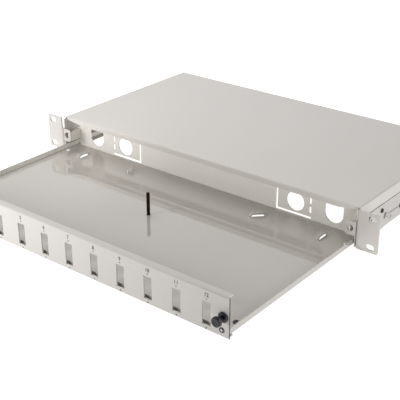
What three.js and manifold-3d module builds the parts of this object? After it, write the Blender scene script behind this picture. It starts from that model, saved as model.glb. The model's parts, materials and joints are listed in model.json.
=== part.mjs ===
// Fiber termination box: a 19-inch, one-unit drawer for 12 duplex fibre adapters.
// Millimetres, +Z up, +X to the right seen from the front, +Y towards the rear.
// The drawer stands pulled out, as the part rests. The origin is the middle of its footprint.
import * as THREE from "three";
import { mergeVertices } from "three/addons/utils/BufferGeometryUtils.js";
import Module from "manifold-3d";

const wasm = await Module();
wasm.setup();

// ---- driving dimensions, measured from the middle plane, the base and the ears' front ----
const sheet = 1.2;
const earSheet = 2;
const panelSheet = 1.5;
const railSheet = 0.8;
const bendRadius = 1.8;
const bendSteps = 2;
const fit = 0.3;

const coverHalfWidth = 215.6;
const housingHeight = 44.4;
const coverFlangeBottom = 30.2;
const coverFront = 6;
const housingRear = 245.2;
const lipBottom = 37.4;
const lipEndBottom = 41;

const rackSlotHalfPitch = 465.1 / 2;
const rackEarHalfWidth = 482.6 / 2;
const rackEarHeight = 43.85;
const rackSlotRise = 31.75 / 2;
const rackSlotLength = 10;
const rackSlotHeight = 6.6;
const earFlangeDepth = 58;

const latchHeight = 21.5;
const latchX = 208;
const latchHoleRadius = 4;
const latchTabWidth = 12.6;
const latchTabHeight = 16;

const glideHeight = 12.5;
const glideScrewY = 64.5;
const glidePegY = 100;
const glideHoleRadius = 4.2;

const drawerTravel = 213.3;
const panelClosedFront = -2.6;
const panelHalfWidth = 214.2;
const panelHeight = 42.4;
const panelLipDepth = 8.1;
const panelLipHalfWidth = 212.4;

const adapterCount = 12;
const adapterPitch = 34.38;
const adapterWidth = 9.84;
const adapterHeight = 24.34;
const adapterCentreHeight = 17.6;
const adapterScrewRise = 15;
const adapterScrewRadius = 0.9;

const trayHalfWidth = 212;
const trayFlangeTop = 8.6;
const trayFrontFlangeTop = 7.2;
const trayFrontGap = 2.5;
const drainX = 206;
const drainRadius = 2.6;
const plugY = -194;
const cableWallFront = 22.5;
const cableWallTop = 41;
const cableWallHalfWidth = 207.5;
const cablePortRadius = 11.3;
const cablePortHeight = 19;
const notchX = 176;
const glandX = 126.8;
const flapInnerX = 103.8;
const flapOuterX = 146.2;
const flapSlotWidth = 2.7;

const studY = -78.5;
const studTop = 29.5;
const studRadius = 2;

const knobTravel = 6;
const knobRadius = 5;
const knobThickness = 4;
const grommetFlange = 2;

// ---- derived planes ----
const coverInner = coverHalfWidth - sheet;
const wallInner = coverInner - sheet;
const skirtFront = earFlangeDepth + 0.6;
const skirtTop = coverFlangeBottom - 1;
const coverUnderside = housingHeight - sheet;
const panelFront = panelClosedFront - drawerTravel;
const panelBack = panelFront + panelSheet;
const floorBottom = panelSheet;
const floorTop = floorBottom + sheet;
const bracketFloor = floorTop + sheet;
const trayFront = panelBack + trayFrontGap;
const cableWallBack = cableWallFront + sheet;
const knobFront = panelFront - grommetFlange - knobTravel - knobThickness;
const originY = (knobFront + housingRear) / 2;

// ---- solids ----
function solid(geometry) {
  const bare = geometry.index ? geometry.toNonIndexed() : geometry.clone();
  bare.deleteAttribute("normal");
  bare.deleteAttribute("uv");
  const merged = mergeVertices(bare, 1e-5);
  return new wasm.Manifold(new wasm.Mesh({
    numProp: 3,
    vertProperties: merged.attributes.position.array,
    triVerts: merged.index.array,
  }));
}

// Surface of a solid, with splinters shorter than 0.1 micrometre removed.
function geometryOf(manifold) {
  const shortest = 1e-4;
  const mesh = manifold.simplify(shortest).getMesh();
  const geometry = new THREE.BufferGeometry();
  geometry.setAttribute("position", new THREE.BufferAttribute(mesh.vertProperties, 3));
  geometry.setIndex(new THREE.BufferAttribute(mesh.triVerts, 1));
  return geometry;
}

function union(solids) {
  return solids.reduce((sum, next) => sum.add(next));
}

function cut(body, tools) {
  return tools.reduce((rest, tool) => rest.subtract(tool), body);
}

function box(x0, x1, y0, y1, z0, z1) {
  const geometry = new THREE.BoxGeometry(x1 - x0, y1 - y0, z1 - z0);
  return solid(geometry.translate((x0 + x1) / 2, (y0 + y1) / 2, (z0 + z1) / 2));
}

function extruded(shape, depth, curveSegments) {
  return new THREE.ExtrudeGeometry(shape, { depth, curveSegments, bevelEnabled: false });
}

// A shape drawn in X and Z, pushed along Y.
function prismAlongY(shape, y0, y1, curveSegments = 5) {
  const geometry = extruded(shape, y1 - y0, curveSegments).rotateX(Math.PI / 2);
  return solid(geometry.translate(0, y1, 0));
}

// A shape drawn in X and Y, pushed along Z.
function prismAlongZ(shape, z0, z1, curveSegments = 5) {
  return solid(extruded(shape, z1 - z0, curveSegments).translate(0, 0, z0));
}

// A shape drawn in Y and Z, pushed along X.
function prismAlongX(shape, x0, x1, curveSegments = 5) {
  const turn = new THREE.Matrix4().makeBasis(
    new THREE.Vector3(0, 1, 0),
    new THREE.Vector3(0, 0, 1),
    new THREE.Vector3(1, 0, 0),
  );
  const geometry = extruded(shape, x1 - x0, curveSegments).applyMatrix4(turn);
  return solid(geometry.translate(x0, 0, 0));
}

function rodAlongY(x, z, radius, y0, y1, sides) {
  const geometry = new THREE.CylinderGeometry(radius, radius, y1 - y0, sides);
  return solid(geometry.translate(x, (y0 + y1) / 2, z));
}

function rodAlongZ(x, y, radius, z0, z1, sides) {
  const geometry = new THREE.CylinderGeometry(radius, radius, z1 - z0, sides);
  return solid(geometry.rotateX(Math.PI / 2).translate(x, y, (z0 + z1) / 2));
}

function rodAlongX(y, z, radius, x0, x1, sides) {
  const geometry = new THREE.CylinderGeometry(radius, radius, x1 - x0, sides);
  return solid(geometry.rotateZ(-Math.PI / 2).translate((x0 + x1) / 2, y, z));
}

// Outline through the given corners, each one rounded by its own radius (0 stays sharp).
function outline(corners) {
  const shape = new THREE.Shape();
  const count = corners.length;
  corners.forEach(([x, y, radius = 0], index) => {
    const here = new THREE.Vector2(x, y);
    const before = new THREE.Vector2(...corners[(index + count - 1) % count].slice(0, 2));
    const after = new THREE.Vector2(...corners[(index + 1) % count].slice(0, 2));
    const towardsBefore = before.sub(here).normalize();
    const towardsAfter = after.sub(here).normalize();
    const halfTurn = Math.acos(towardsBefore.dot(towardsAfter)) / 2;
    const setback = radius / Math.tan(halfTurn);
    const start = here.clone().addScaledVector(towardsBefore, setback);
    const end = here.clone().addScaledVector(towardsAfter, setback);
    if (index === 0) shape.moveTo(start.x, start.y);
    else shape.lineTo(start.x, start.y);
    if (radius > 0) {
      const bisector = towardsBefore.clone().add(towardsAfter).normalize();
      const centre = here.clone().addScaledVector(bisector, radius / Math.sin(halfTurn));
      const from = Math.atan2(start.y - centre.y, start.x - centre.x);
      const to = Math.atan2(end.y - centre.y, end.x - centre.x);
      const clockwise = towardsBefore.cross(towardsAfter) > 0;
      shape.absarc(centre.x, centre.y, radius, from, to, clockwise);
    }
  });
  shape.closePath();
  return shape;
}

// Oval hole, longer along X, drawn in X and Z.
function obround(x, z, length, height) {
  const radius = height / 2;
  const reach = length / 2 - radius;
  const shape = new THREE.Shape();
  shape.absarc(x + reach, z, radius, -Math.PI / 2, Math.PI / 2, false);
  shape.absarc(x - reach, z, radius, Math.PI / 2, Math.PI * 1.5, false);
  shape.closePath();
  return shape;
}

function mirrored(body) {
  return body.mirror([1, 0, 0]);
}

// ---- materials ----
const paint = new THREE.MeshStandardMaterial({ color: 0xd0cdc8, roughness: 0.32, metalness: 0.1 });
const screwSteel = new THREE.MeshStandardMaterial({ color: 0xb8b8b4, roughness: 0.3, metalness: 1 });
const studSteel = new THREE.MeshStandardMaterial({ color: 0x3a2620, roughness: 0.45, metalness: 0.8 });
const nylon = new THREE.MeshStandardMaterial({ color: 0x17161a, roughness: 0.5, metalness: 0 });

const part = new THREE.Group();
part.position.y = -originY;

function addNode(name, body, material) {
  const mesh = new THREE.Mesh(geometryOf(body), material);
  mesh.name = name;
  part.add(mesh);
}

// Builds the right-hand piece, and its mirror image under the left-hand name.
function addPair(name, body, material) {
  addNode(`right_${name}`, body, material);
  addNode(`left_${name}`, mirrored(body), material);
}

// ---- housing ----
const coverScrewHeight = 36.6;
const coverScrewYs = [130, 225];
const earScrewHeight = 23;
const earScrewYs = [26.7, 53.3];
const railRivetHeight = 5.6;
const railRivetYs = [78, 150, 228];
const screwShank = 2;
const screwHole = screwShank + fit;
const rivetShank = 1.5;
const rivetHole = rivetShank + fit;

// Top sheet with both side flanges, drawn across and pushed to the rear.
function coverSection() {
  const innerRadius = bendRadius - sheet;
  return outline([
    [coverHalfWidth, coverFlangeBottom],
    [coverHalfWidth, housingHeight, bendRadius],
    [-coverHalfWidth, housingHeight, bendRadius],
    [-coverHalfWidth, coverFlangeBottom],
    [-coverInner, coverFlangeBottom],
    [-coverInner, coverUnderside, innerRadius],
    [coverInner, coverUnderside, innerRadius],
    [coverInner, coverFlangeBottom],
  ]);
}

// Stiffening lip folded down from the top sheet, its ends cut at a slant.
function coverLip(edgeY, towardsMiddle) {
  const innerRadius = bendRadius - sheet;
  const rootY = edgeY + towardsMiddle * bendRadius * 2;
  const backY = edgeY + towardsMiddle * sheet;
  const fold = prismAlongX(outline([
    [edgeY, lipBottom],
    [edgeY, housingHeight, bendRadius],
    [rootY, housingHeight],
    [rootY, coverUnderside],
    [backY, coverUnderside, innerRadius],
    [backY, lipBottom],
  ]), -wallInner + fit, wallInner - fit, bendSteps);
  const slantStart = wallInner - 25;
  const slantTools = [-1, 1].map((side) => prismAlongY(outline([
    [side * slantStart, lipBottom],
    [side * coverHalfWidth, lipEndBottom],
    [side * coverHalfWidth, lipBottom - 1],
    [side * slantStart, lipBottom - 1],
  ]), edgeY - bendRadius * 2, edgeY + bendRadius * 2));
  return cut(fold, slantTools);
}

function topCover() {
  const rounding = prismAlongX(outline([
    [coverFront, 0],
    [housingRear, 0],
    [housingRear, housingHeight, bendRadius],
    [coverFront, housingHeight, bendRadius],
  ]), -coverHalfWidth - 1, coverHalfWidth + 1, bendSteps);
  const body = union([
    prismAlongY(coverSection(), coverFront, housingRear, bendSteps).intersect(rounding),
    coverLip(coverFront, 1),
    coverLip(housingRear, -1),
  ]);
  const screwHoles = coverScrewYs.map((y) =>
    rodAlongX(y, coverScrewHeight, screwHole, -coverHalfWidth - 1, coverHalfWidth + 1, 12));
  return cut(body, screwHoles);
}

// Side sheet: the latch tab is folded inwards at its front edge, and behind the ear a skirt
// brings its lower part flush with the cover's flange.
function sideWall() {
  const tabInner = coverInner - latchTabWidth;
  const tabBottom = latchHeight - latchTabHeight / 2;
  const tabTop = latchHeight + latchTabHeight / 2;
  const wallEnd = housingRear - bendRadius;
  const wallTop = coverUnderside - fit - (bendRadius - sheet);
  const wall = box(wallInner, coverInner, bendRadius, wallEnd, 0, wallTop);
  const skirt = box(coverInner - 0.5, coverHalfWidth, skirtFront, wallEnd, 0, skirtTop);
  const fold = prismAlongZ(outline([
    [tabInner, 0],
    [coverInner, 0, bendRadius],
    [coverInner, bendRadius * 2],
    [wallInner, bendRadius * 2],
    [wallInner, sheet, bendRadius - sheet],
    [tabInner, sheet],
  ]), tabBottom, tabTop, bendSteps);
  const cornerRadius = 3;
  const tabMask = prismAlongY(outline([
    [tabInner, tabBottom, cornerRadius],
    [coverInner + 1, tabBottom],
    [coverInner + 1, tabTop],
    [tabInner, tabTop, cornerRadius],
  ]), -1, bendRadius * 3);
  const latchHole = rodAlongY(latchX, latchHeight, latchHoleRadius, -1, bendRadius * 2, 20);
  const slitHeight = 1;
  const slitFront = glideScrewY + 5;
  const glideSlit = box(wallInner - 1, coverHalfWidth + 1, slitFront, glidePegY - 1.5,
    glideHeight - slitHeight / 2, glideHeight + slitHeight / 2);
  const across = (y, z, radius) => rodAlongX(y, z, radius, wallInner - 1, coverHalfWidth + 1, 14);
  return cut(union([wall, skirt, fold.intersect(tabMask)]), [
    latchHole,
    glideSlit,
    across(glideScrewY, glideHeight, screwHole),
    across(glidePegY, glideHeight, glideHoleRadius),
    ...coverScrewYs.map((y) => across(y, coverScrewHeight, screwHole)),
    ...earScrewYs.map((y) => across(y, earScrewHeight, screwHole)),
    ...railRivetYs.map((y) => across(y, railRivetHeight, rivetHole)),
  ]);
}

// Nylon block inside the side wall that guides the closed drawer, its peg in the wall's hole.
function glideBlock() {
  const blockInner = 208.4;
  const blockBottom = 10.7;
  const blockTop = 17.5;
  const blockFront = 58;
  const blockRear = 106;
  const corner = 2.5;
  const pegEnd = coverHalfWidth - 0.8;
  const block = prismAlongX(outline([
    [blockFront, blockBottom],
    [blockRear, blockBottom],
    [blockRear, blockTop, corner],
    [blockFront, blockTop, corner],
  ]), blockInner, wallInner, bendSteps);
  const pegRadius = glideHoleRadius - fit;
  const peg = rodAlongX(glidePegY, glideHeight, pegRadius, wallInner - 1, pegEnd, 14);
  const rear = cut(peg, [box(wallInner - 2, wallInner, glidePegY - 5, glidePegY + 5, 0, blockBottom)]);
  const screwBore = rodAlongX(glideScrewY, glideHeight, screwHole, blockInner - 1, wallInner + 1, 12);
  return cut(union([block, rear]), [screwBore]);
}

// Channel that carries the tray's edge: a lip below the floor and one above the tray's flange.
function guideRail() {
  const railFront = 10;
  const railRear = housingRear - bendRadius;
  const webInner = wallInner - railSheet;
  const lowerLipInner = 207.5;
  const upperLipInner = 208.6;
  const upperLipBottom = 9.6;
  const section = outline([
    [wallInner, 0],
    [wallInner, upperLipBottom + railSheet],
    [upperLipInner, upperLipBottom + railSheet],
    [upperLipInner, upperLipBottom],
    [webInner, upperLipBottom],
    [webInner, railSheet],
    [lowerLipInner, railSheet],
    [lowerLipInner, 0],
  ]);
  const holes = railRivetYs.map((y) =>
    rodAlongX(y, railRivetHeight, rivetHole, webInner - 1, wallInner + 1, 12));
  return cut(prismAlongY(section, railFront, railRear), holes);
}

// Rack ear: a slotted front plate and a flange folded back along the side wall.
function rackEar() {
  const earBend = 4.4;
  const plateInner = 216.9;
  const flangeTop = coverFlangeBottom - fit;
  const flangeOuter = coverInner + earSheet;
  const plateCorner = 1.5;
  const plate = prismAlongY(outline([
    [flangeOuter + earBend, 0],
    [rackEarHalfWidth, 0, plateCorner],
    [rackEarHalfWidth, rackEarHeight, plateCorner],
    [plateInner, rackEarHeight],
    [plateInner, flangeTop - 1],
    [flangeOuter + earBend, flangeTop - 1],
  ]), 0, earSheet);
  const fold = prismAlongZ(outline([
    [coverInner, 0, earBend],
    [coverInner + earBend * 2, 0],
    [coverInner + earBend * 2, earSheet],
    [flangeOuter, earSheet, earBend - earSheet],
    [flangeOuter, earFlangeDepth],
    [coverInner, earFlangeDepth],
  ]), 0, flangeTop, bendSteps);
  const slots = [-1, 1].map((side) => prismAlongY(
    obround(rackSlotHalfPitch, rackEarHeight / 2 + side * rackSlotRise, rackSlotLength, rackSlotHeight),
    -1, earSheet + 1));
  const screwHoles = earScrewYs.map((y) =>
    rodAlongX(y, earScrewHeight, screwHole, coverInner - 1, flangeOuter + 1, 12));
  return cut(union([plate, fold]), [...slots, ...screwHoles]);
}

// Screw lying along X, its rounded head outside and its tip towards the middle.
function sideScrew(y, z, seatX, tipX, headRadius, headHeight) {
  const crown = headHeight * 0.35;
  const length = seatX - tipX;
  const profile = [
    [0, -length],
    [screwShank, -length],
    [screwShank, 0],
    [headRadius, 0],
    [headRadius, headHeight - crown],
    [headRadius - crown, headHeight],
    [0, headHeight],
  ];
  return sideTurned(profile, y, z, seatX);
}

// Flat rivet lying along X, flush with the inside of the rail.
function sideRivet(y, z, seatX, tipX) {
  const headRadius = 2.6;
  const headHeight = 0.7;
  const length = seatX - tipX;
  const profile = [
    [0, -length],
    [rivetShank, -length],
    [rivetShank, 0],
    [headRadius, 0],
    [headRadius - headHeight / 2, headHeight],
    [0, headHeight],
  ];
  return sideTurned(profile, y, z, seatX);
}

function sideTurned(profile, y, z, seatX) {
  const sides = 12;
  const points = profile.map(([radius, along]) => new THREE.Vector2(radius, along));
  const geometry = new THREE.LatheGeometry(points, sides).rotateZ(-Math.PI / 2);
  return solid(geometry.translate(seatX, y, z));
}

addNode("top_cover", topCover(), paint);
addPair("side_wall", sideWall(), paint);
addPair("guide_rail", guideRail(), paint);
addPair("rack_ear", rackEar(), paint);

addPair("glide_block", glideBlock(), nylon);

const screwTip = wallInner - 2;
const panHeadRadius = 3.6;
const panHeadHeight = 2;
const lowHeadRadius = 2.6;
const lowHeadHeight = 1;
const earSeat = coverInner + earSheet;
const [earPanY, earLowY] = earScrewYs;
const earPan = sideScrew(earPanY, earScrewHeight, earSeat, screwTip, panHeadRadius, panHeadHeight);
const earLow = sideScrew(earLowY, earScrewHeight, earSeat, screwTip, lowHeadRadius, lowHeadHeight);
addPair("ear_pan_screw", earPan, screwSteel);
addPair("ear_low_screw", earLow, studSteel);
coverScrewYs.forEach((y, index) => {
  const screw = sideScrew(y, coverScrewHeight, coverHalfWidth, screwTip, panHeadRadius, panHeadHeight);
  addPair(`cover_screw_${index + 1}`, screw, screwSteel);
});
const glideTip = wallInner - 4;
const glideScrew = sideScrew(glideScrewY, glideHeight, coverHalfWidth, glideTip, panHeadRadius, panHeadHeight);
addPair("glide_screw", glideScrew, screwSteel);
railRivetYs.forEach((y, index) => {
  const rivet = sideRivet(y, railRivetHeight, coverHalfWidth, wallInner - railSheet);
  addPair(`rail_rivet_${index + 1}`, rivet, paint);
});

// ---- drawer ----
const panelRivetX = 206.4;
const panelRivetHeight = 7.5;
const grommetBarrel = 3.1;

// Front panel: a channel with the adapter openings and the two latch holes.
function frontPanel() {
  const innerRadius = bendRadius - panelSheet;
  const lipBack = panelFront + panelLipDepth;
  const channel = prismAlongX(outline([
    [panelFront, 0, bendRadius],
    [lipBack, 0],
    [lipBack, panelSheet],
    [panelBack, panelSheet, innerRadius],
    [panelBack, panelHeight - panelSheet, innerRadius],
    [lipBack, panelHeight - panelSheet],
    [lipBack, panelHeight],
    [panelFront, panelHeight, bendRadius],
  ]), -panelHalfWidth, panelHalfWidth, bendSteps);
  const lipEnd = box(panelLipHalfWidth, panelHalfWidth + 1, panelBack, lipBack + 1, -1, panelHeight + 1);
  const y0 = panelFront - 1;
  const y1 = panelBack + 1;
  const openings = [lipEnd, mirrored(lipEnd)];
  for (let index = 0; index < adapterCount; index += 1) {
    const x = (index - (adapterCount - 1) / 2) * adapterPitch;
    const z0 = adapterCentreHeight - adapterHeight / 2;
    openings.push(box(x - adapterWidth / 2, x + adapterWidth / 2, y0, y1, z0, z0 + adapterHeight));
    for (const side of [-1, 1]) {
      const z = adapterCentreHeight + side * adapterScrewRise;
      openings.push(rodAlongY(x, z, adapterScrewRadius, y0, y1, 8));
    }
  }
  for (const side of [-1, 1]) {
    openings.push(rodAlongY(side * latchX, latchHeight, grommetBarrel + fit, y0, y1, 20));
    openings.push(rodAlongY(side * panelRivetX, panelRivetHeight, rivetHole, y0, y1, 12));
  }
  return cut(channel, openings);
}

// Slot that a cable tie passes through, and the arched strip that spans it.
const bridgeLength = 18.5;
const bridgeSlotWidth = 6.1;
const bridgeStripWidth = 6;
const bridgeRise = 3.6;

function bridgeSlot() {
  return box(-bridgeLength / 2, bridgeLength / 2, -bridgeSlotWidth / 2, bridgeSlotWidth / 2,
    floorBottom - 1, floorTop + 1);
}

function bridgeStrip() {
  const root = bridgeLength / 2;
  const ramp = 3.2;
  const lean = sheet * 0.5;
  const softening = 1.2;
  return prismAlongY(outline([
    [-root - 1, floorBottom],
    [-root + lean, floorBottom, softening],
    [-root + ramp + lean, floorBottom + bridgeRise, softening],
    [root - ramp - lean, floorBottom + bridgeRise, softening],
    [root - lean, floorBottom, softening],
    [root + 1, floorBottom],
    [root + 1, floorTop],
    [root, floorTop, softening],
    [root - ramp, floorTop + bridgeRise, softening],
    [-root + ramp, floorTop + bridgeRise, softening],
    [-root, floorTop, softening],
    [-root - 1, floorTop],
  ]), -bridgeStripWidth / 2, bridgeStripWidth / 2, bendSteps);
}

const straightBridgeX = 176.7;
const slantedBridgeX = 95.4;
const bridgeY = -4.6;
const bridgePlaces = [
  [straightBridgeX, bridgeY, 90],
  [-straightBridgeX, bridgeY, 90],
  [slantedBridgeX, bridgeY, 45],
  [-slantedBridgeX, bridgeY, -45],
];

function cableWallCuts(side) {
  const y0 = cableWallFront - 1;
  const y1 = cableWallBack + 1;
  const slot = (x0, x1, z0, z1) => {
    const opening = box(x0, x1, y0, y1, z0, z1);
    return side > 0 ? opening : mirrored(opening);
  };
  const flapBottom = floorTop + fit;
  const bottomSlotTop = 5.7;
  const perforationLength = 7.7;
  const perforationPitch = 11.1;
  const firstPerforation = 10;
  const cuts = [
    rodAlongY(side * notchX, cablePortHeight, cablePortRadius, y0, y1, 32),
    slot(notchX - cablePortRadius, notchX + cablePortRadius, cablePortHeight, cableWallTop + 1),
    rodAlongY(side * glandX, cablePortHeight, cablePortRadius, y0, y1, 32),
    slot(flapInnerX - flapSlotWidth, flapInnerX, flapBottom, cableWallTop + 1),
    slot(flapInnerX - flapSlotWidth, flapOuterX + flapSlotWidth / 2, flapBottom, bottomSlotTop),
  ];
  for (let index = 0; index < 3; index += 1) {
    const z0 = firstPerforation + index * perforationPitch;
    const halfWidth = flapSlotWidth / 2;
    cuts.push(slot(flapOuterX - halfWidth, flapOuterX + halfWidth, z0, z0 + perforationLength));
  }
  return cuts;
}

// Tab folded forward from the end of the cable wall: it meets the latch tab when pulled out.
function stopTab() {
  const noseRadius = 4;
  const tabFront = sheet + fit;
  const tabBottom = 12;
  const tabTop = 25;
  return prismAlongX(outline([
    [tabFront, tabBottom, 1],
    [cableWallBack, tabBottom],
    [cableWallBack, tabTop],
    [tabFront, tabTop, noseRadius],
  ]), cableWallHalfWidth - sheet, cableWallHalfWidth, bendSteps);
}

// Wall behind the tray with the cable ports, its foot lying under the tray's floor.
function cableWall() {
  const footFront = 6;
  const footBottom = floorBottom - sheet;
  const footHalfWidth = cableWallHalfWidth - 1.5;
  const innerRadius = bendRadius - sheet;
  const foot = prismAlongX(outline([
    [footFront, footBottom],
    [cableWallBack, footBottom, bendRadius],
    [cableWallBack, floorTop + 1],
    [cableWallFront, floorTop + 1],
    [cableWallFront, floorBottom, innerRadius],
    [footFront, floorBottom],
  ]), -footHalfWidth, footHalfWidth, bendSteps);
  const wall = box(-cableWallHalfWidth, cableWallHalfWidth, cableWallFront, cableWallBack,
    floorTop, cableWallTop);
  const stop = stopTab();
  const cuts = [-1, 1].flatMap((side) => cableWallCuts(side));
  return cut(union([foot, wall, stop, mirrored(stop)]), cuts);
}

function tray() {
  const flangeInner = trayHalfWidth - sheet;
  const innerRadius = bendRadius - sheet;
  const flangeRear = cableWallFront - 1.5;
  const channel = prismAlongY(outline([
    [-trayHalfWidth, floorBottom, bendRadius],
    [trayHalfWidth, floorBottom, bendRadius],
    [trayHalfWidth, trayFlangeTop],
    [flangeInner, trayFlangeTop],
    [flangeInner, floorTop, innerRadius],
    [-flangeInner, floorTop, innerRadius],
    [-flangeInner, trayFlangeTop],
    [-trayHalfWidth, trayFlangeTop],
  ]), trayFront, flangeRear, bendSteps);
  const rearFloor = box(-cableWallHalfWidth, cableWallHalfWidth, flangeRear - 1,
    cableWallFront - fit - innerRadius, floorBottom, floorTop);
  const frontFlangeHalf = 196;
  const frontFlange = prismAlongX(outline([
    [trayFront, floorBottom, bendRadius],
    [trayFront + bendRadius * 2, floorBottom],
    [trayFront + bendRadius * 2, floorTop],
    [trayFront + sheet, floorTop, innerRadius],
    [trayFront + sheet, trayFrontFlangeTop],
    [trayFront, trayFrontFlangeTop],
  ]), -frontFlangeHalf, frontFlangeHalf, bendSteps);
  const solids = [channel, rearFloor, frontFlange];
  const holes = [];
  for (const side of [-1, 1]) {
    for (const y of [-2, plugY]) {
      holes.push(rodAlongZ(side * drainX, y, drainRadius, floorBottom - 1, floorTop + 1, 14));
    }
  }
  holes.push(rodAlongZ(0, studY, studRadius + fit, floorBottom - 1, floorTop + 1, 14));
  const strips = [];
  for (const [x, y, degrees] of bridgePlaces) {
    holes.push(bridgeSlot().rotate([0, 0, degrees]).translate([x, y, 0]));
    strips.push(bridgeStrip().rotate([0, 0, degrees]).translate([x, y, 0]));
  }
  return union([cut(union(solids), holes), ...strips]);
}

// Angle that joins the panel to the tray: its foot lies on the floor under the plug's head.
function cornerBracket() {
  const bracketInner = 199.5;
  const bracketOuter = trayHalfWidth - bendRadius - fit;
  const footRear = plugY + 5;
  const bracketTop = 11.5;
  const innerRadius = bendRadius - sheet;
  const angle = prismAlongX(outline([
    [panelBack, floorTop, bendRadius],
    [footRear, floorTop],
    [footRear, bracketFloor],
    [panelBack + sheet, bracketFloor, innerRadius],
    [panelBack + sheet, bracketTop],
    [panelBack, bracketTop],
  ]), bracketInner, bracketOuter, bendSteps);
  return cut(angle, [
    rodAlongZ(drainX, plugY, drainRadius, floorTop - 1, bracketFloor + 1, 14),
    rodAlongY(panelRivetX, panelRivetHeight, rivetHole, panelBack - 1, trayFront, 12),
  ]);
}

// Nylon plug pressed through the bracket and the tray's front corner.
function trayPlug() {
  const headRadius = 3.3;
  const headHeight = 0.9;
  const shank = drainRadius - fit;
  const profile = [
    [0, floorBottom],
    [shank, floorBottom],
    [shank, bracketFloor],
    [headRadius, bracketFloor],
    [headRadius - headHeight / 2, bracketFloor + headHeight],
    [0, bracketFloor + headHeight],
  ];
  const points = profile.map(([radius, height]) => new THREE.Vector2(radius, height));
  const geometry = new THREE.LatheGeometry(points, 14).rotateX(Math.PI / 2);
  return solid(geometry.translate(drainX, plugY, 0));
}

// Threaded stud that carries the splice cassettes, its head under the floor.
function cassetteStud() {
  const headRadius = 3.6;
  const headHeight = 0.9;
  const tipChamfer = 0.6;
  const profile = [
    [0, floorBottom - headHeight],
    [headRadius, floorBottom - headHeight],
    [headRadius, floorBottom],
    [studRadius, floorBottom],
    [studRadius, studTop - tipChamfer],
    [studRadius - tipChamfer, studTop],
    [0, studTop],
  ];
  const points = profile.map(([radius, height]) => new THREE.Vector2(radius, height));
  const geometry = new THREE.LatheGeometry(points, 14).rotateX(Math.PI / 2);
  return solid(geometry.translate(0, studY, 0));
}

function frontTurned(profile, x, z, sides) {
  const points = profile.map(([radius, along]) => new THREE.Vector2(radius, along));
  return solid(new THREE.LatheGeometry(points, sides).translate(x, 0, z));
}

// Rivet that holds the panel to the corner bracket.
function panelRivet() {
  const headRadius = 2.7;
  const headHeight = 0.8;
  const tailRadius = 2.3;
  const tailHeight = 1;
  const tailSeat = panelBack + sheet;
  const profile = [
    [0, panelFront - headHeight],
    [headRadius - headHeight / 2, panelFront - headHeight],
    [headRadius, panelFront],
    [rivetShank, panelFront],
    [rivetShank, tailSeat],
    [tailRadius, tailSeat],
    [tailRadius - tailHeight / 2, tailSeat + tailHeight],
    [0, tailSeat + tailHeight],
  ];
  return frontTurned(profile, panelRivetX, panelRivetHeight, 12);
}

// Nylon grommet in the panel: a flange in front and a barrel that enters the latch tab.
const plungerShaft = 1.8;

function latchGrommet() {
  const flangeRadius = 5.2;
  const bore = plungerShaft + fit;
  const barrelEnd = panelFront + 7;
  const frontFace = panelFront - grommetFlange;
  const profile = [
    [bore, frontFace],
    [flangeRadius - 0.5, frontFace],
    [flangeRadius, frontFace + 0.5],
    [flangeRadius, panelFront],
    [grommetBarrel, panelFront],
    [grommetBarrel, barrelEnd - 1],
    [grommetBarrel - 0.6, barrelEnd],
    [bore, barrelEnd],
    [bore, frontFace],
  ];
  return frontTurned(profile, latchX, latchHeight, 18);
}

// Nylon plunger: a knob pulled clear of the grommet, and the shaft that spreads the barrel.
function latchPlunger() {
  const edge = 0.6;
  const knobBack = knobFront + knobThickness;
  const shaftEnd = panelFront + 6;
  const profile = [
    [0, knobFront],
    [knobRadius - edge, knobFront],
    [knobRadius, knobFront + edge],
    [knobRadius, knobBack - edge],
    [knobRadius - edge, knobBack],
    [plungerShaft, knobBack],
    [plungerShaft, shaftEnd],
    [0, shaftEnd],
  ];
  return frontTurned(profile, latchX, latchHeight, 18);
}

addNode("drawer_tray", tray(), paint);
addNode("cable_wall", cableWall(), paint);
addNode("front_panel", frontPanel(), paint);
addNode("cassette_stud", cassetteStud(), studSteel);
addPair("panel_rivet", panelRivet(), screwSteel);
addPair("corner_bracket", cornerBracket(), paint);
addPair("tray_plug", trayPlug(), nylon);
addPair("latch_grommet", latchGrommet(), nylon);
addPair("latch_plunger", latchPlunger(), nylon);

export default part;
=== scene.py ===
"""Fiber termination box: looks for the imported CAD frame. Metres, +Z up, the front towards -Y."""
import json
import math

import bmesh
import bpy
from mathutils import Matrix, Vector


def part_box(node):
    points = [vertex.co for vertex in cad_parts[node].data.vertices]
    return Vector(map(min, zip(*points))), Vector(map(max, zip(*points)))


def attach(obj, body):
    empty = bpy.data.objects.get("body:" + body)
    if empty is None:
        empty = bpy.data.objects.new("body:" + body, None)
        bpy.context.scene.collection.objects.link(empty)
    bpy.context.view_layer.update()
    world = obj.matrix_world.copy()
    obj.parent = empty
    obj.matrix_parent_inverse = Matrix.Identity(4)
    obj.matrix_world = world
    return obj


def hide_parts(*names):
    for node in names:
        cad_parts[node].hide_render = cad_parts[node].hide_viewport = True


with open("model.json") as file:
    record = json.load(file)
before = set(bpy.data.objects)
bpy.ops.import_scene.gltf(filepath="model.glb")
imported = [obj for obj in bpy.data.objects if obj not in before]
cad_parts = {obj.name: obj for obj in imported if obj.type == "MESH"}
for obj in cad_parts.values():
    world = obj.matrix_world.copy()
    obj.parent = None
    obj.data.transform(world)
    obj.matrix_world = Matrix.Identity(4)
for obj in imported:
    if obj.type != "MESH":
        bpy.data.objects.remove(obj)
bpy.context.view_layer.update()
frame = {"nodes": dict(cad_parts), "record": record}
nodes = frame["nodes"]
MM = 0.001
SIDES = ("right", "left")
WELD = 1e-7
ON_AXIS = 1e-9
FLAT = math.radians(0.5)
GENTLEST_BEND = math.radians(8)
SHARPEST_BEND = math.radians(50)
scene = bpy.context.scene


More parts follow.
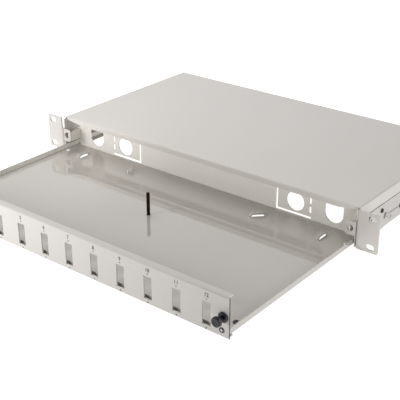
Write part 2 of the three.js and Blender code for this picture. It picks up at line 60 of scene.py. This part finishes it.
# ---- materials ----
def map_range(tree, source, low, high, start, end):
    """Maps a pattern between two numbers."""
    node = tree.nodes.new("ShaderNodeMapRange")
    node.inputs["From Min"].default_value = start
    node.inputs["From Max"].default_value = end
    node.inputs["To Min"].default_value = low
    node.inputs["To Max"].default_value = high
    tree.links.new(source, node.inputs["Value"])
    return node.outputs["Result"]


class Surface:
    """A node material round one Principled shader, with helpers for its procedural detail."""

    def __init__(self, name):
        self.material = bpy.data.materials.new(name)
        self.material.use_nodes = True
        self.tree = self.material.node_tree
        self.shader = self.tree.nodes["Principled BSDF"]
        self.place = self.tree.nodes.new("ShaderNodeTexCoord").outputs["Object"]

    def set(self, **values):
        for name, value in values.items():
            self.shader.inputs[name.replace("_", " ")].default_value = value

    def noise(self, per_metre, detail=2.0, roughness=0.5):
        node = self.tree.nodes.new("ShaderNodeTexNoise")
        node.inputs["Scale"].default_value = per_metre
        node.inputs["Detail"].default_value = detail
        node.inputs["Roughness"].default_value = roughness
        self.tree.links.new(self.place, node.inputs["Vector"])
        return node.outputs["Fac"]

    def spread(self, source, low, high, start=0.3, end=0.7):
        """Maps a pattern between two numbers."""
        return map_range(self.tree, source, low, high, start, end)

    def colours(self, source, low, high, start=0.3, end=0.7):
        """Maps a pattern between two colours."""
        node = self.tree.nodes.new("ShaderNodeValToRGB")
        node.color_ramp.elements[0].position = start
        node.color_ramp.elements[0].color = (*low, 1)
        node.color_ramp.elements[1].position = end
        node.color_ramp.elements[1].color = (*high, 1)
        self.tree.links.new(source, node.inputs["Fac"])
        return node.outputs["Color"]

    def link(self, output, name):
        self.tree.links.new(output, self.shader.inputs[name])

    def bump(self, layers):
        """Stacks bump layers, each a (pattern, height in metres) pair."""
        last = None
        for pattern, height in layers:
            node = self.tree.nodes.new("ShaderNodeBump")
            node.inputs["Distance"].default_value = height
            node.inputs["Strength"].default_value = 1.0
            self.tree.links.new(pattern, node.inputs["Height"])
            if last is not None:
                self.tree.links.new(last, node.inputs["Normal"])
            last = node.outputs["Normal"]
        self.link(last, "Normal")


def powder_coat(name, dark, light, rough_low, rough_high, coat, peel_height=0.000008):
    """Powder coat: fine orange peel, faint clouding and a gloss uneven between two roughnesses."""
    surface = Surface(name)
    surface.set(Metallic=0.0, Coat_Weight=coat, Coat_Roughness=rough_low * 0.5, IOR=1.5)
    clouds = surface.noise(9, 3)
    surface.link(surface.colours(clouds, dark, light), "Base Color")
    patches = surface.noise(14, 2)
    surface.link(surface.spread(patches, rough_low, rough_high), "Roughness")
    peel = surface.noise(620, 1.5)
    grain = surface.noise(2600, 2)
    surface.bump([(peel, peel_height), (grain, peel_height * 0.4)])
    return surface.material


def mottled(name, dark, light, clouds, gloss, rough, grain, depth, **base):
    """Mottled colour, uneven gloss and a fine grain; clouds, gloss and grain are noise settings."""
    surface = Surface(name)
    surface.set(**base)
    surface.link(surface.colours(surface.noise(*clouds), dark, light), "Base Color")
    surface.link(surface.spread(surface.noise(*gloss), *rough), "Roughness")
    surface.bump([(surface.noise(*grain), depth)])
    return surface.material


def plated_steel(name, dark, light):
    return mottled(name, dark, light, (700, 4), (1500, 3), (0.22, 0.42), (4000, 2), 0.000006,
                   Metallic=1.0)


HOUSING_PAINT = powder_coat("housing_paint", (0.505, 0.474, 0.448), (0.52, 0.489, 0.462),
                            0.27, 0.31, 0.3, 0.000003)
COVER_PAINT = powder_coat("cover_paint", (0.59, 0.555, 0.524), (0.605, 0.57, 0.539),
                          0.28, 0.3, 0.3, 0.000003)
# The tray paint is the same paint as the cover's with a darker base colour: painted shade for the
# tray floor's shading and dark reflections, also on the guide rails and corner brackets.
TRAY_PAINT_PAINTED_SHADE = powder_coat("tray_paint_painted_shade", (0.405, 0.38, 0.345), (0.42, 0.395, 0.36),
                         0.025, 0.04, 1.0, 0.000002)
PANEL_PAINT = powder_coat("panel_paint", (0.495, 0.474, 0.448), (0.51, 0.489, 0.463),
                          0.255, 0.265, 0.3)
# The wall paint is lighter than the housing's: painted light that brightens the cable wall behind
# the cover's lip and the tray flanges' inner faces.
WALL_PAINT_PAINTED_LIGHT = powder_coat("wall_paint_painted_light", (0.74, 0.71, 0.66), (0.76, 0.73, 0.68), 0.22, 0.26, 0.3)
ZINC = plated_steel("zinc_plated_steel", (0.42, 0.42, 0.41), (0.66, 0.66, 0.64))
# Dark plated steel for the panel rivets' rim and sunk ring: painted shade in the rivet's groove.
RIM = plated_steel("rivet_rim_painted_shade", (0.09, 0.085, 0.08), (0.16, 0.15, 0.14))
STUD = mottled("burnished_stud_steel", (0.022, 0.012, 0.010), (0.085, 0.045, 0.035),
               (400, 4), (1300, 3), (0.32, 0.55), (3500, 2), 0.000008, Metallic=0.85)
# Dark plated steel for the front panel's end faces: painted shade along the panel's ends.
EDGE = plated_steel("panel_end_painted_shade", (0.05, 0.045, 0.04), (0.10, 0.09, 0.08))
NYLON = mottled("black_nylon", (0.006, 0.006, 0.008), (0.016, 0.014, 0.019),
                (160, 3), (500, 4), (0.36, 0.56), (1800, 3), 0.00002, Metallic=0.0, IOR=1.53)
INK = mottled("screen_print_ink", (0.018, 0.017, 0.017), (0.04, 0.038, 0.036),
              (900, 3), (1800, 2), (0.45, 0.65), (5000, 2), 0.000004, Metallic=0.0, IOR=1.45)


# ---- mesh helpers ----
def add_piece(name, mesh, material, body, replaced=()):
    piece = bpy.data.objects.new(name, mesh)
    scene.collection.objects.link(piece)
    piece.data.materials.clear()
    piece.data.materials.append(material)
    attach(piece, body)
    if replaced:
        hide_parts(*replaced)
    return piece


def mesh_from(bm, name):
    mesh = bpy.data.meshes.new(name)
    bm.to_mesh(mesh)
    bm.free()
    return mesh


def applied(piece):
    """Bakes the modifiers of a piece into its mesh."""
    depsgraph = bpy.context.evaluated_depsgraph_get()
    mesh = bpy.data.meshes.new_from_object(piece.evaluated_get(depsgraph))
    piece.modifiers.clear()
    piece.data = mesh


def round_corners(bm, width):
    """Turns the coarse facets of bends and round holes into finer arcs."""
    facets = [edge for edge in bm.edges
              if len(edge.link_faces) == 2
              and GENTLEST_BEND < edge.calc_face_angle(0) < SHARPEST_BEND]
    bmesh.ops.bevel(bm, geom=facets, offset=width, offset_type="OFFSET", segments=2,
                    profile=0.5, affect="EDGES", clamp_overlap=True)


def soften(node, piece_name, material, body, corner, edge):
    """The node's CAD shape with finer bends and holes and rounded cut edges, standing for it."""
    bm = bmesh.new()
    bm.from_mesh(nodes[node].data)
    bmesh.ops.remove_doubles(bm, verts=bm.verts, dist=WELD)
    bmesh.ops.dissolve_limit(bm, angle_limit=FLAT, verts=bm.verts, edges=bm.edges)
    round_corners(bm, corner)
    for face in bm.faces:
        face.smooth = True
    piece = add_piece(piece_name, mesh_from(bm, piece_name), material, body, (node,))
    bevel = piece.modifiers.new("round_edges", "BEVEL")
    bevel.width = edge
    bevel.segments = 2
    bevel.limit_method = "ANGLE"
    bevel.angle_limit = SHARPEST_BEND
    bevel.use_clamp_overlap = True
    shading = piece.modifiers.new("flat_faces", "WEIGHTED_NORMAL")
    shading.mode = "FACE_AREA"
    shading.weight = 100
    applied(piece)
    return piece


def soften_sheet(node, piece_name, material, body, edge=0.22 * MM):
    return soften(node, piece_name, material, body, 0.3 * MM, edge)


def turned(profile, sides):
    """A closed solid of revolution about local Z from (radius, height) pairs, axis to axis."""
    bm = bmesh.new()
    rings = []
    turn = 2 * math.pi / sides
    for radius, height in profile:
        if radius < ON_AXIS:
            rings.append([bm.verts.new((0, 0, height))])
            continue
        around = [(radius * math.cos(i * turn), radius * math.sin(i * turn)) for i in range(sides)]
        rings.append([bm.verts.new((x, y, height)) for x, y in around])
    for low, high in zip(rings, rings[1:]):
        for i in range(sides):
            j = (i + 1) % sides
            if len(low) == 1:
                bm.faces.new((low[0], high[j], high[i]))
            elif len(high) == 1:
                bm.faces.new((low[i], low[j], high[0]))
            else:
                bm.faces.new((low[i], low[j], high[j], high[i]))
    bmesh.ops.recalc_face_normals(bm, faces=bm.faces)
    for face in bm.faces:
        face.smooth = True
    return bm


def arc(centre_r, centre_h, radius, start, end, steps=6):
    """Points of a rounded corner, angles in degrees from the outward radius."""
    points = []
    for step in range(steps + 1):
        angle = math.radians(start + (end - start) * step / steps)
        points.append((centre_r + radius * math.cos(angle), centre_h + radius * math.sin(angle)))
    return points


def sharpen(mesh, degrees=35):
    mesh.set_sharp_from_angle(angle=math.radians(degrees))


def turned_to(direction):
    """Rotation that brings local +Z to the direction."""
    return Vector((0, 0, 1)).rotation_difference(Vector(direction)).to_matrix().to_4x4()


def cross_recess(head_radius, top, depth):
    """Cutter for a cross-slot driver recess, tapering to its floor."""
    bm = bmesh.new()
    half = head_radius * 0.58
    wing = head_radius * 0.15
    floor_half = half * 0.45
    floor_wing = wing * 0.7
    above = depth * 0.2
    corners = ((-1, -1), (1, -1), (1, 1), (-1, 1))
    for turn in (0, math.pi / 2):
        spin = Matrix.Rotation(turn, 4, "Z")
        low = [bm.verts.new(spin @ Vector((x * floor_half, y * floor_wing, top - depth)))
               for x, y in corners]
        high = [bm.verts.new(spin @ Vector((x * half, y * wing, top + above)))
                for x, y in corners]
        bm.faces.new(low[::-1])
        bm.faces.new(high)
        for i in range(4):
            j = (i + 1) % 4
            bm.faces.new((low[i], low[j], high[j], high[i]))
    return bm


def cut_recess(mesh, cutter_bm):
    """Subtracts a cutter from a mesh and returns the new mesh."""
    holder = bpy.data.objects.new("recess_holder", mesh)
    cutter = bpy.data.objects.new("recess_cutter", mesh_from(cutter_bm, "recess_cutter"))
    for obj in (holder, cutter):
        scene.collection.objects.link(obj)
    boolean = holder.modifiers.new("recess", "BOOLEAN")
    boolean.operation = "DIFFERENCE"
    boolean.solver = "EXACT"
    boolean.use_self = True
    boolean.object = cutter
    applied(holder)
    result = holder.data
    bpy.data.objects.remove(holder)
    bpy.data.objects.remove(cutter)
    return result


# ---- sheet metal ----
def build_housing_sheets():
    soften_sheet("top_cover", "cover_sheet", COVER_PAINT, "housing")
    for side in SIDES:
        soften_sheet(f"{side}_side_wall", f"{side}_wall_sheet", HOUSING_PAINT, "housing")
        soften_sheet(f"{side}_guide_rail", f"{side}_rail_sheet", TRAY_PAINT_PAINTED_SHADE, "housing", 0.12 * MM)
        soften_sheet(f"{side}_rack_ear", f"{side}_ear_sheet", HOUSING_PAINT, "housing", 0.3 * MM)


def build_drawer_sheets():
    tray = soften_sheet("drawer_tray", "tray_sheet", TRAY_PAINT_PAINTED_SHADE, "drawer")
    # The tray flanges' inward faces take the lighter wall paint: painted light.
    tray.data.materials.append(WALL_PAINT_PAINTED_LIGHT)
    flange_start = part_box("drawer_tray")[1].x - 1.3 * MM
    mostly_sideways = 0.7
    for face in tray.data.polygons:
        on_flange = abs(face.center.x) > flange_start and abs(face.normal.x) > mostly_sideways
        if on_flange and face.normal.x * face.center.x < 0:
            face.material_index = 1
    # The cable wall takes the lighter wall paint: painted light.
    soften_sheet("cable_wall", "cable_wall_sheet", WALL_PAINT_PAINTED_LIGHT, "drawer")
    for side in SIDES:
        soften_sheet(f"{side}_corner_bracket", f"{side}_corner_angle", TRAY_PAINT_PAINTED_SHADE, "drawer")
    panel = soften_sheet("front_panel", "panel_sheet", PANEL_PAINT, "drawer")
    # The panel's end faces take the dark colour: painted shade.
    panel.data.materials.append(EDGE)
    panel_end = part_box("front_panel")[1].x - 0.15 * MM
    squarely_sideways = 0.9
    for face in panel.data.polygons:
        if abs(face.center.x) > panel_end and abs(face.normal.x) > squarely_sideways:
            face.material_index = 1


# ---- fasteners ----
def outward_seat(node, head_height):
    """Head radius, shank length and placing of a fastener whose head faces away from the middle."""
    low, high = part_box(node)
    outward = 1 if low.x > 0 else -1
    head_radius = (high.z - low.z) / 2
    centre = (low + high) / 2
    length = (high.x - low.x) - head_height
    seat_x = high.x - head_height if outward > 0 else low.x + head_height
    placing = Matrix.Translation((seat_x, centre.y, centre.z)) @ turned_to((outward, 0, 0))
    return head_radius, length, placing


def outward_screw(node, piece_name, material, head_height):
    """Round-headed screw with a cross recess and a threaded shank, head away from the middle."""
    head_radius, length, placing = outward_seat(node, head_height)
    edge = head_height * 0.35
    shank = 2 * MM
    crown = head_radius * 0.97
    profile = [(0, -length), (shank - 0.4 * MM, -length), (shank - 0.1 * MM, -length + 0.5 * MM)]
    pitch = 0.7 * MM
    turns = int((length - 0.9 * MM) / pitch)
    for turn in range(turns):
        base = -length + 0.6 * MM + turn * pitch
        profile += [(shank - 0.35 * MM, base), (shank, base + pitch / 2)]
    profile += [(shank - 0.1 * MM, 0), (head_radius - 0.15 * MM, 0)]
    profile += arc(crown - edge, head_height - edge, edge + (head_radius - crown), -15, 80)
    profile += [(head_radius * 0.4, head_height), (0, head_height)]
    bm = turned(profile, 40)
    recess = cross_recess(head_radius, head_height, head_height * 0.65)
    mesh = cut_recess(mesh_from(bm, piece_name), recess)
    sharpen(mesh)
    mesh.transform(placing)
    add_piece(piece_name, mesh, material, "housing", (node,))


def outward_rivet(node, piece_name):
    """Painted flat rivet on the side wall."""
    head_height = 0.7 * MM
    head_radius, length, placing = outward_seat(node, head_height)
    shank = 1.5 * MM
    edge = 0.35 * MM
    profile = [(0, -length), (shank, -length), (shank, 0), (head_radius - 0.05 * MM, 0)]
    profile += arc(head_radius - edge, head_height - edge, edge, 0, 90)
    profile += [(head_radius * 0.4, head_height), (0, head_height)]
    mesh = mesh_from(turned(profile, 32), piece_name)
    sharpen(mesh)
    mesh.transform(placing)
    add_piece(piece_name, mesh, HOUSING_PAINT, "housing", (node,))


def panel_rivet(node, piece_name):
    """Tubular rivet: a rolled rim round a sunk ring and a raised middle."""
    low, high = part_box(node)
    centre = (low + high) / 2
    panel_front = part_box("front_panel")[0].y
    head_radius = (high.z - low.z) / 2
    head_height = panel_front - low.y
    length = high.y - panel_front
    shank = 1.5 * MM
    tail_seat = length - 1 * MM
    rim = 0.3 * MM
    tail = 2.3 * MM
    profile = [(0, -length), (tail - 0.5 * MM, -length), (tail, -length + 0.5 * MM)]
    profile += [(tail, -tail_seat)]
    profile += [(shank, -tail_seat), (shank, 0), (head_radius - 0.05 * MM, 0)]
    profile += arc(head_radius - rim, head_height * 0.5, rim, 0, 180)
    profile += [(head_radius - 2.1 * rim, 0.05 * MM), (1.45 * MM, 0.05 * MM)]
    profile += [(1.4 * MM, head_height * 0.7), (1.1 * MM, head_height), (0, head_height)]
    mesh = mesh_from(turned(profile, 40), piece_name)
    sharpen(mesh)
    middle = 1.42 * MM
    mesh.transform(Matrix.Translation((centre.x, panel_front, centre.z)) @ turned_to((0, -1, 0)))
    # The rim and sunk ring take the dark colour, painted shade; the raised middle is plated zinc.
    piece = add_piece(piece_name, mesh, RIM, "drawer", (node,))
    piece.data.materials.append(ZINC)
    for face in piece.data.polygons:
        offset = math.hypot(face.center.x - centre.x, face.center.z - centre.z)
        if offset < middle and face.center.y < panel_front:
            face.material_index = 1


def glide_block(side):
    """Moulded guide inside the side wall, its peg showing in the wall's hole. Its black nylon is
    painted shade: a dark block that darkens the wall's holes and slits where the shade inside the
    housing falls.
    """
    soften(f"{side}_glide_block", f"{side}_guide_block_painted_shade", NYLON, "housing",
           0.25 * MM, 0.4 * MM)


def tray_plug(side):
    """Push-in plug with a domed head and a shallow dimple."""
    node = f"{side}_tray_plug"
    low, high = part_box(node)
    centre = (low + high) / 2
    head_height = 0.9 * MM
    floor_top = high.z - head_height
    head_radius = (high.x - low.x) / 2
    shank = 2.3 * MM
    edge = 0.4 * MM
    length = floor_top - low.z
    profile = [(0, -length), (shank - 0.2 * MM, -length), (shank, -length + 0.2 * MM), (shank, 0)]
    profile += [(head_radius - 0.05 * MM, 0)]
    profile += arc(head_radius - edge, head_height - edge, edge, 0, 80)
    profile += [(head_radius * 0.5, head_height), (head_radius * 0.4, head_height - 0.2 * MM)]
    profile += [(0, head_height - 0.25 * MM)]
    mesh = mesh_from(turned(profile, 40), f"{side}_push_plug")
    sharpen(mesh)
    mesh.transform(Matrix.Translation((centre.x, centre.y, floor_top)))
    add_piece(f"{side}_push_plug", mesh, NYLON, "drawer", (node,))


def build_fasteners():
    pan = 2 * MM
    low_head = 1 * MM
    for side in SIDES:
        outward_screw(f"{side}_ear_pan_screw", f"{side}_ear_cross_screw", ZINC,
                      pan)
        # The low ear screw takes the dark stud steel: painted shade, a dark screw standing in for
        # the shade of a hole in the ear.
        outward_screw(f"{side}_ear_low_screw", f"{side}_ear_screw_painted_shade", STUD,
                      low_head)
        outward_screw(f"{side}_glide_screw", f"{side}_glide_cross_screw", ZINC,
                      pan)
        for index in (1, 2):
            outward_screw(f"{side}_cover_screw_{index}", f"{side}_cover_pan_screw_{index}", ZINC,
                          pan)
        for index in (1, 2, 3):
            outward_rivet(f"{side}_rail_rivet_{index}", f"{side}_rail_flat_rivet_{index}")
        panel_rivet(f"{side}_panel_rivet", f"{side}_panel_tubular_rivet")
        glide_block(side)
        tray_plug(side)


# ---- stud ----
def build_stud():
    """Fine machine thread: a cylinder grid whose radius follows a helix."""
    low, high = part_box("cassette_stud")
    tray_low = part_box("drawer_tray")[0]
    radius = 2 * MM
    depth = 0.42 * MM
    pitch = 0.7 * MM
    chamfer = 0.6 * MM
    sides = 36
    samples = 7
    head_radius = (high.x - low.x) / 2
    seat = tray_low.z
    start = seat + 0.2 * MM
    rings = int((high.z - start) / pitch * samples)
    bm = bmesh.new()
    columns = []

    def ring(height, size):
        row = []
        for i in range(sides):
            angle = 2 * math.pi * i / sides
            r = size(angle)
            row.append(bm.verts.new((r * math.cos(angle), r * math.sin(angle), height)))
        columns.append(row)

    ring(low.z, lambda a: head_radius - 0.2 * MM)
    ring(low.z + 0.2 * MM, lambda a: head_radius)
    ring(seat - 0.001 * MM, lambda a: head_radius)
    ring(seat, lambda a: radius)
    for step in range(rings + 1):
        height = start + (high.z - start) * step / rings
        fade = min(1.0, (high.z - height) / chamfer)

        def size(angle, height=height, fade=fade):
            phase = (height / pitch - angle / (2 * math.pi)) % 1.0
            tooth = abs(2 * phase - 1)
            crest = radius - depth * min(1.0, max(0.0, 1.25 * tooth - 0.12))
            return min(crest, radius - chamfer * (1 - fade))

        ring(height, size)
    for low_row, high_row in zip(columns, columns[1:]):
        for i in range(sides):
            j = (i + 1) % sides
            bm.faces.new((low_row[i], low_row[j], high_row[j], high_row[i]))
    bm.faces.new(columns[0][::-1])
    bm.faces.new(columns[-1])
    bmesh.ops.recalc_face_normals(bm, faces=bm.faces)
    for face in bm.faces:
        face.smooth = True
    mesh = mesh_from(bm, "threaded_stud")
    sharpen(mesh, 50)
    centre = (low + high) / 2
    mesh.transform(Matrix.Translation((centre.x, centre.y, 0)))
    add_piece("threaded_stud", mesh, STUD, "drawer", ("cassette_stud",))


# ---- push latches ----
def latch_grommet(side):
    node = f"{side}_latch_grommet"
    low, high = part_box(node)
    centre = (low + high) / 2
    panel_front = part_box("front_panel")[0].y
    flange_radius = (high.x - low.x) / 2
    flange = panel_front - low.y
    barrel_length = high.y - panel_front
    barrel = 3.1 * MM
    bore = 2.1 * MM
    edge = 0.7 * MM
    profile = [(bore, -barrel_length), (barrel - 0.6 * MM, -barrel_length)]
    profile += [(barrel, -barrel_length + 1 * MM), (barrel, 0), (flange_radius - 0.1 * MM, 0)]
    profile += arc(flange_radius - edge, flange - edge, edge, 0, 90)
    profile += [(flange_radius * 0.62, flange), (flange_radius * 0.56, flange - 0.3 * MM)]
    profile += [(bore + 0.3 * MM, flange - 0.3 * MM), (bore, flange - 0.6 * MM)]
    profile += [(bore, -barrel_length)]
    bm = turned(profile, 48)
    bmesh.ops.remove_doubles(bm, verts=bm.verts, dist=WELD)
    bmesh.ops.recalc_face_normals(bm, faces=bm.faces)
    mesh = mesh_from(bm, f"{side}_grommet")
    sharpen(mesh)
    mesh.transform(Matrix.Translation((centre.x, panel_front, centre.z)) @ turned_to((0, -1, 0)))
    add_piece(f"{side}_grommet", mesh, NYLON, "drawer", (node,))


def latch_knob(side):
    node = f"{side}_latch_plunger"
    low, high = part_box(node)
    centre = (low + high) / 2
    radius = (high.x - low.x) / 2
    thickness = 4 * MM
    shaft = 1.8 * MM
    front_edge = 1.1 * MM
    back_edge = 0.7 * MM
    length = high.y - low.y
    profile = [(0, -length), (shaft - 0.4 * MM, -length), (shaft, -length + 0.5 * MM)]
    profile += [(shaft, -thickness - 0.5 * MM), (shaft + 0.4 * MM, -thickness)]
    profile += arc(radius - back_edge, -thickness + back_edge, back_edge, -90, 0)
    profile += arc(radius - front_edge, -front_edge, front_edge, 0, 90)
    profile += [(radius * 0.62, -0.05 * MM), (radius * 0.5, -0.28 * MM), (radius * 0.25, -0.4 * MM)]
    profile += [(0, -0.42 * MM)]
    mesh = mesh_from(turned(profile, 48), f"{side}_knob")
    sharpen(mesh, 50)
    mesh.transform(Matrix.Translation((centre.x, low.y, centre.z)) @ turned_to((0, -1, 0)))
    add_piece(f"{side}_knob", mesh, NYLON, f"{side}_plunger", (node,))


# ---- printed numerals ----
def build_numerals():
    """Generic position numbers, screen printed above the adapter openings."""
    openings = {opening["name"]: opening["box_m"]
                for opening in frame["record"]["physics"]["openings"]}
    panel_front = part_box("front_panel")[0].y
    ink_thickness = 0.03 * MM
    height = 36.6 * MM
    bm = bmesh.new()
    for index in range(1, 13):
        low, high = openings[f"adapter_opening_{index}"]
        curve = bpy.data.curves.new(f"numeral_{index}", "FONT")
        curve.body = str(index)
        curve.size = 5.4 * MM
        curve.align_x = "CENTER"
        curve.align_y = "CENTER"
        curve.extrude = ink_thickness / 2
        curve.offset = 0.12 * MM
        curve.resolution_u = 4
        holder = bpy.data.objects.new(f"numeral_{index}", curve)
        scene.collection.objects.link(holder)
        bpy.context.view_layer.update()
        depsgraph = bpy.context.evaluated_depsgraph_get()
        mesh = bpy.data.meshes.new_from_object(holder.evaluated_get(depsgraph))
        middle = (low[0] + high[0]) / 2
        place = Matrix.Translation((middle, panel_front - ink_thickness / 2, height))
        mesh.transform(place @ Matrix.Rotation(math.pi / 2, 4, "X"))
        bm.from_mesh(mesh)
        bpy.data.objects.remove(holder)
        bpy.data.meshes.remove(mesh)
    add_piece("position_numerals", mesh_from(bm, "position_numerals"), INK, "drawer")


# ---- stage ----
def build_floor():
    half_width = 16
    drop = 0.6 * MM
    bm = bmesh.new()
    bmesh.ops.create_grid(bm, x_segments=2, y_segments=2, size=half_width)
    floor = bpy.data.objects.new("floor", mesh_from(bm, "floor"))
    floor.location.z = -drop
    scene.collection.objects.link(floor)
    surface = Surface("glowing_floor")
    surface.set(Roughness=0.9)
    grain = surface.noise(3, 2)
    surface.link(surface.colours(grain, (0.19, 0.19, 0.19), (0.22, 0.22, 0.22)), "Base Color")
    # The floor glows, brighter towards the left: painted light that keeps the floor white with no
    # cast shadow and lights the object from below.
    surface.set(Emission_Color=(1, 1, 1, 1))
    across = surface.tree.nodes.new("ShaderNodeSeparateXYZ")
    surface.tree.links.new(surface.place, across.inputs["Vector"])
    glow = surface.spread(across.outputs["X"], 1.6, 0.96, -0.45, 0.05)
    surface.link(glow, "Emission Strength")
    floor.data.materials.append(surface.material)


def build_world():
    """Studio surround: brightest behind and to the left, dimmest in front and to the right."""
    world = bpy.data.worlds.new("studio")
    scene.world = world
    world.use_nodes = True
    tree = world.node_tree
    direction = tree.nodes.new("ShaderNodeTexCoord")
    axes = tree.nodes.new("ShaderNodeSeparateXYZ")
    tree.links.new(direction.outputs["Generated"], axes.inputs["Vector"])
    front_to_back = map_range(tree, axes.outputs["Y"], 0.2, 1.0, -0.6, 0.7)
    left_to_right = map_range(tree, axes.outputs["X"], 1.0, 0.6, -0.7, 0.0)
    both = tree.nodes.new("ShaderNodeMath")
    both.operation = "MULTIPLY"
    tree.links.new(front_to_back, both.inputs[0])
    tree.links.new(left_to_right, both.inputs[1])
    background = tree.nodes["Background"]
    background.inputs["Color"].default_value = (1, 1, 1, 1)
    tree.links.new(both.outputs["Value"], background.inputs["Strength"])


def area_light(name, place, aim, size, power):
    light = bpy.data.lights.new(name, "AREA")
    light.shape = "RECTANGLE"
    light.size, light.size_y = size
    light.energy = power
    lamp = bpy.data.objects.new(name, light)
    lamp.location = place
    lamp.rotation_euler = (Vector(aim) - Vector(place)).to_track_quat("-Z", "Y").to_euler()
    scene.collection.objects.link(lamp)
    return lamp


def build_stage():
    build_floor()
    build_world()
    scene.view_settings.view_transform = "Standard"
    key = area_light("key_front_left", (-0.3, -0.6, 0.25), (-0.12, -0.1, 0.02), (0.3, 0.2), 2.9)
    top = area_light("top_soft", (-0.6, 0.15, 0.95), (-0.05, 0.1, 0.0), (0.7, 0.6), 5.2)
    for lamp in (key, top):
        lamp.visible_glossy = False
    area_light("ear_fill", (0.42, -0.19, 0.08), (0.18, 0.0, 0.03), (0.12, 0.08), 0.2)
    corner = area_light("left_corner_fill", (-0.02, -0.19, 0.12), (-0.2, 0.015, 0.03),
                        (0.06, 0.06), 0.02)
    corner.data.spread = math.radians(60)
    area_light("rear_right_fill", (0.9, 0.35, 0.4), (0.1, 0.1, 0.0), (0.5, 0.4), 1.5)


def build_camera():
    """Seen from the front right and above, as the object is shown with its drawer pulled out."""
    camera = bpy.data.cameras.new("camera")
    camera.lens = 82.34
    camera.sensor_width = 36
    camera.clip_end = 50
    holder = bpy.data.objects.new("camera", camera)
    holder.location = (0.6094, -0.76245, 0.4545)
    view = Vector((-0.5612, 0.7064, -0.4313))
    holder.rotation_euler = view.to_track_quat("-Z", "Y").to_euler()
    scene.collection.objects.link(holder)
    scene.camera = holder


build_camera()
build_housing_sheets()
build_drawer_sheets()
build_fasteners()
build_stud()
for latch_side in SIDES:
    latch_grommet(latch_side)
    latch_knob(latch_side)
build_numerals()
build_stage()
